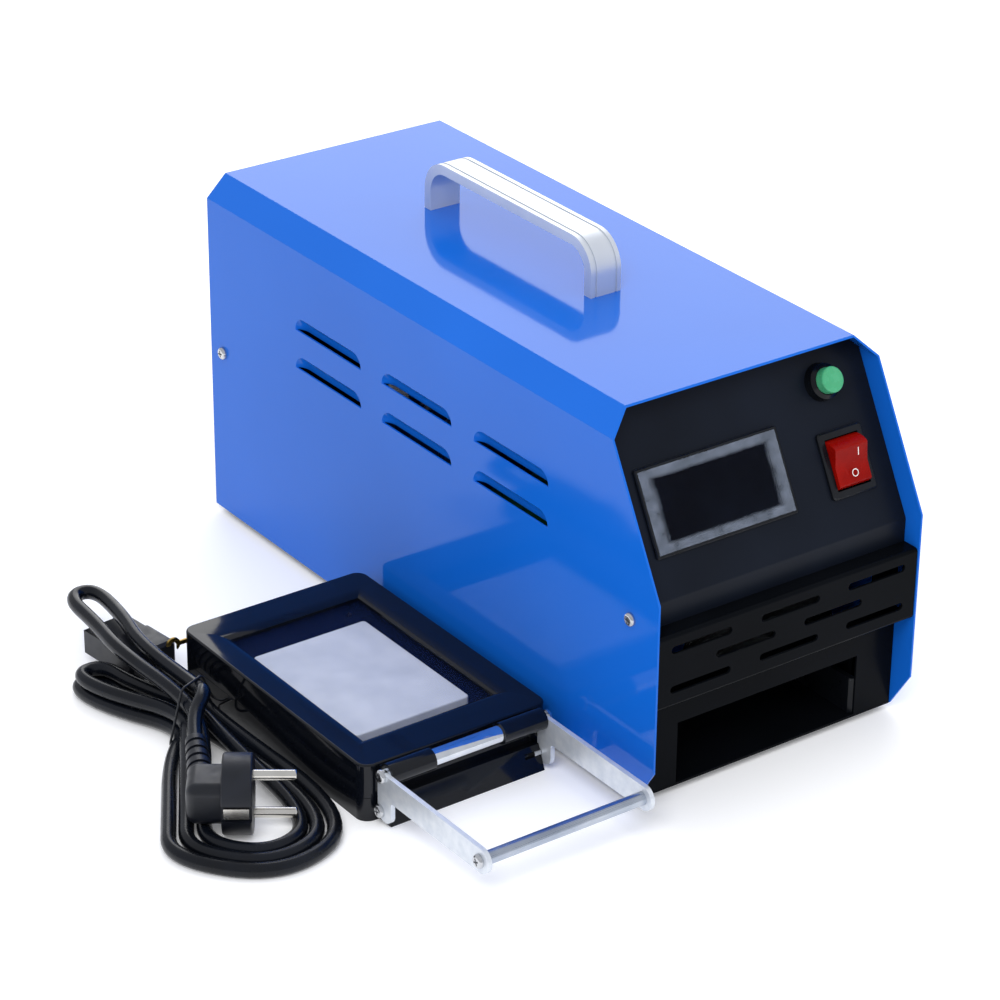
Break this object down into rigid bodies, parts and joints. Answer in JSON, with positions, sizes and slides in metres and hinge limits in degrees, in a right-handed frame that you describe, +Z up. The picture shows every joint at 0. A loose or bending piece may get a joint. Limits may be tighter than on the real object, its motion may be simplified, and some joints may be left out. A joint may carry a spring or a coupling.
{
  "type": "flash stamp exposure machine",
  "caption": "Desk-top flash exposure machine: folded steel housing with sloping control panel, carry handle, separate hinged exposure tray and a tied mains lead.",
  "frame": {"origin": "under the middle of the housing, on the surface that its feet stand on", "axes": "+X to the right seen from the front, +Y to the back, +Z up"},
  "size_m": [0.3426, 0.381, 0.209],
  "materials": {
    "housing_paint": "gloss blue stoved paint",
    "chassis_steel": "zinc plated sheet",
    "front_paint": "satin black paint",
    "panel_paint": "satin dark grey paint",
    "screw_nickel": "nickel plated",
    "foot_rubber": "matt black rubber",
    "handle_aluminium": "satin anodised",
    "display_plastic": "black moulded plastic",
    "display_window": "dark tinted window",
    "display_film": "crumpled milky protective film",
    "board_green": "green circuit board",
    "button_collar": "black moulded plastic",
    "button_green": "green moulded plastic",
    "spring_steel": "spring wire",
    "rocker_red": "red moulded plastic",
    "contact_metal": "nickel plated brass",
    "reflector_aluminium": "bright rolled sheet",
    "lamp_glass": "clear glass",
    "holder_ceramic": "white ceramic",
    "capacitor_sleeve": "blue shrink sleeve",
    "coil_copper": "lacquered winding",
    "tray_black": "polished black",
    "tray_glass": "clear glass",
    "plate_white": "white foam faced plate",
    "tube_chrome": "polished chrome",
    "bracket_zinc": "zinc plated, slightly mottled",
    "rod_steel": "satin steel",
    "latch_brass": "brass",
    "cord_pvc": "soft PVC sheath",
    "plug_pvc": "satin PVC moulding",
    "tie_wire": "plastic coated wire"
  },
  "bodies": {
    "housing": {"housing_cover": "housing_paint", "capacitor_clamp": "chassis_steel", "front_plate": "front_paint", "vent_hood": "front_paint", "rear_panel": "front_paint", "base_plate": "front_paint", "glass_brackets": "front_paint", "tray_stop": "front_paint", "control_panel": "panel_paint", "cover_screws": "screw_nickel", "handle_screws": "screw_nickel", "inlet_screws": "screw_nickel", "button_nut": "screw_nickel", "board_standoffs": "screw_nickel", "feet": "foot_rubber", "carry_handle": "handle_aluminium", "display_housing": "display_plastic", "rocker_frame": "display_plastic", "mains_inlet": "display_plastic", "tray_rails": "display_plastic", "display_window": "display_window", "display_film": "display_film", "display_board": "board_green", "circuit_board": "board_green", "button_collar": "button_collar", "button_spring": "spring_steel", "rocker_terminals": "contact_metal", "inlet_pins": "contact_metal", "plug_pins": "contact_metal", "tube_end_caps": "contact_metal", "lamp_reflector": "reflector_aluminium", "lamp_glass": "lamp_glass", "flash_tubes": "lamp_glass", "tube_holders": "holder_ceramic", "capacitors": "capacitor_sleeve", "trigger_coil": "coil_copper", "cord_hank": "cord_pvc", "connector_body": "plug_pvc", "plug_body": "plug_pvc", "cord_tie": "tie_wire"},
    "tray": {"tray_base": "tray_black", "hinge_tube": "tube_chrome", "left_bracket": "bracket_zinc", "right_bracket": "bracket_zinc", "bracket_screws": "screw_nickel", "handle_rod": "rod_steel", "rod_screws": "screw_nickel", "press_springs": "spring_steel", "latch_catches": "latch_brass"},
    "lid": {"tray_lid": "tray_black", "lid_glass": "tray_glass", "latch_pivots": "latch_brass"},
    "plate": {"press_plate": "plate_white"},
    "left_hook": {"latch_hook_left": "latch_brass"},
    "right_hook": {"latch_hook_right": "latch_brass"},
    "button": {"button_cap": "button_green"},
    "rocker": {"rocker": "rocker_red"}
  },
  "joints": [
    {"name": "tray_lift", "type": "slide", "parent": "housing", "child": "tray", "axis": [0, 0, 1], "range_m": [0, 0.25]},
    {"name": "lid_hinge", "type": "hinge", "parent": "tray", "child": "lid", "pos_m": [-0.1299, -0.11735, 0.0255], "axis": [1, 0, 0], "range_deg": [0, 100]},
    {"name": "plate_press", "type": "slide", "parent": "tray", "child": "plate", "axis": [0, 0, -1], "range_m": [0, 0.003], "stiffness_N_per_m": 300, "springref_m": -0.01, "deforming": ["press_springs"]},
    {"name": "left_hook_swing", "type": "hinge", "parent": "lid", "child": "left_hook", "pos_m": [-0.1713, 0.0416, 0.0204], "axis": [0, -1, 0], "range_deg": [0, 90]},
    {"name": "right_hook_swing", "type": "hinge", "parent": "lid", "child": "right_hook", "pos_m": [-0.0885, 0.0416, 0.0204], "axis": [0, -1, 0], "range_deg": [0, 90]},
    {"name": "button_push", "type": "slide", "parent": "housing", "child": "button", "axis": [0, 0.8791, -0.4766], "range_m": [0, 0.0025], "stiffness_N_per_m": 400, "springref_m": -0.004, "deforming": ["button_spring"]},
    {"name": "rocker_tilt", "type": "hinge", "parent": "housing", "child": "rocker", "pos_m": [0.0492, -0.15429, 0.12944], "axis": [1, 0, 0], "range_deg": [-26, 0]}
  ]
}
